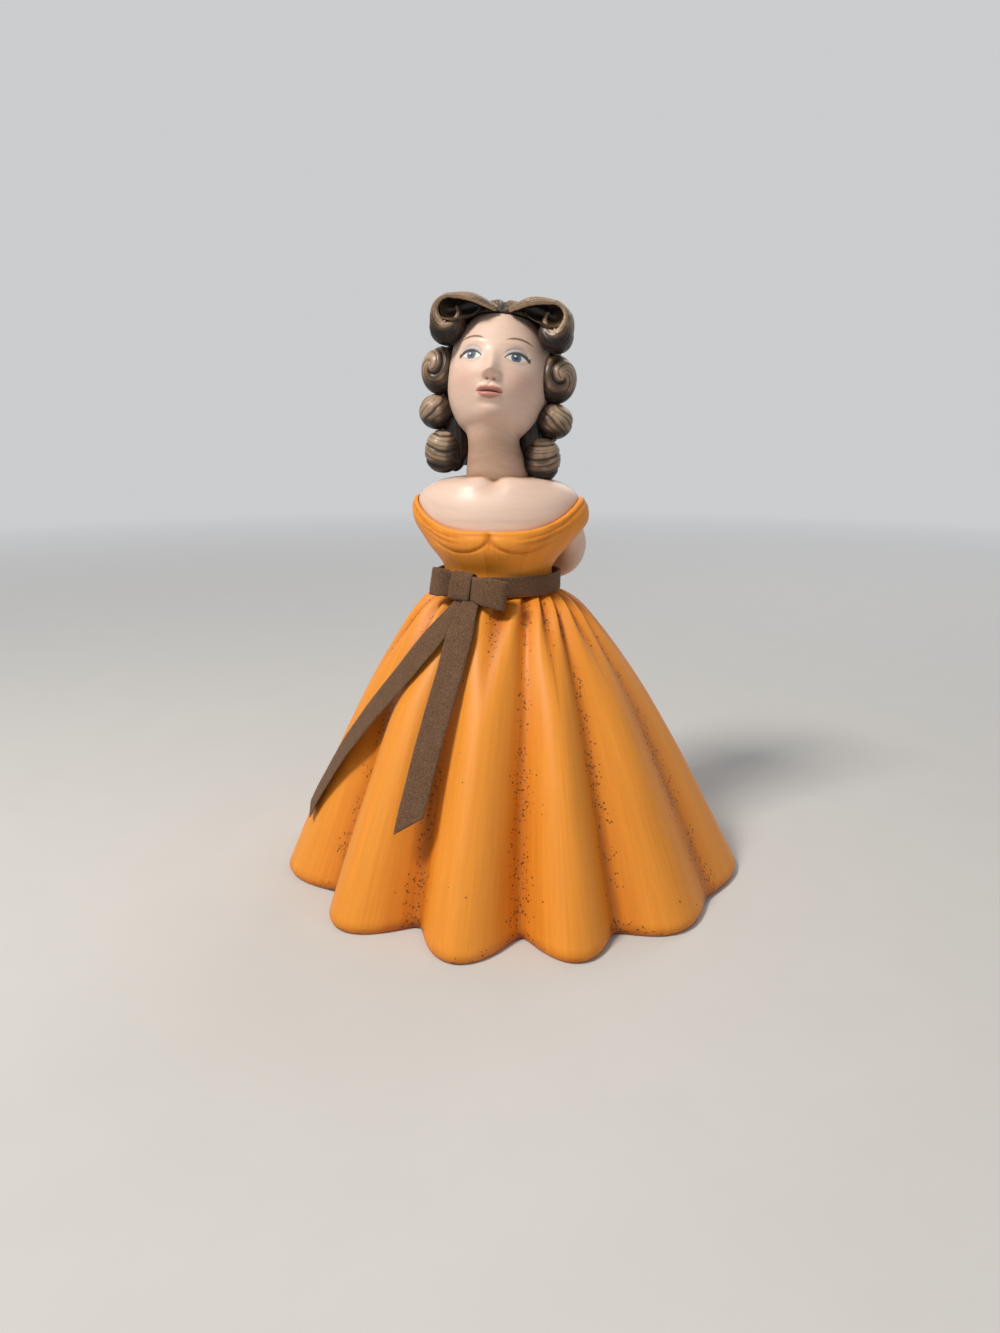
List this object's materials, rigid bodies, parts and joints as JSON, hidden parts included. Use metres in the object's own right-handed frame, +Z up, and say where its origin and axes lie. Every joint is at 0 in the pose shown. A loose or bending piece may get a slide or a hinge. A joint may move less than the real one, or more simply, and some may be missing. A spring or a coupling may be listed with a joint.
{
  "type": "lady figurine",
  "caption": "Free-standing ceramic lady in an off-the-shoulder gown with a hollow fluted skirt, rolled and curled hair, and a tied cloth ribbon at the waist whose loose ends lift off the skirt.",
  "frame": {"origin": "middle of the hem on the surface the figure stands on", "axes": "+Z up, the lady faces -Y, +X is towards the lady's left hand"},
  "size_m": [0.2055, 0.2168, 0.2506],
  "materials": {
    "gown": "hand-painted apricot orange, satin, darker in the folds",
    "skin": "hand-painted pale flesh, soft gloss",
    "hair": "painted taupe brown with dark antiquing, satin",
    "ribbon": "brown velvet ribbon, matt"
  },
  "bodies": {
    "figure": {"skirt": "gown", "bodice": "gown", "bust": "skin", "head": "skin", "left_arm": "skin", "right_arm": "skin", "hair_cap": "hair", "front_roll_left": "hair", "front_roll_right": "hair", "upper_curl_left": "hair", "upper_curl_right": "hair", "middle_curl_left": "hair", "middle_curl_right": "hair", "lower_curl_left": "hair", "lower_curl_right": "hair", "back_ringlet_1": "hair", "back_ringlet_2": "hair", "back_ringlet_3": "hair", "back_ringlet_4": "hair", "waist_sash": "ribbon", "bow_knot": "ribbon", "bow_loop_left": "ribbon", "bow_loop_right": "ribbon"},
    "tail_left": {"sash_tail_left": "ribbon"},
    "tail_right": {"sash_tail_right": "ribbon"}
  },
  "joints": [
    {"name": "tail_left_lift", "type": "hinge", "parent": "figure", "child": "tail_left", "pos_m": [-0.02248, -0.02867, 0.12114], "axis": [-0.1241, 0.9923, 0], "range_deg": [0, 40]},
    {"name": "tail_right_lift", "type": "hinge", "parent": "figure", "child": "tail_right", "pos_m": [-0.01636, -0.03054, 0.12115], "axis": [-0.9572, 0.2893, 0], "range_deg": [0, 40]}
  ]
}
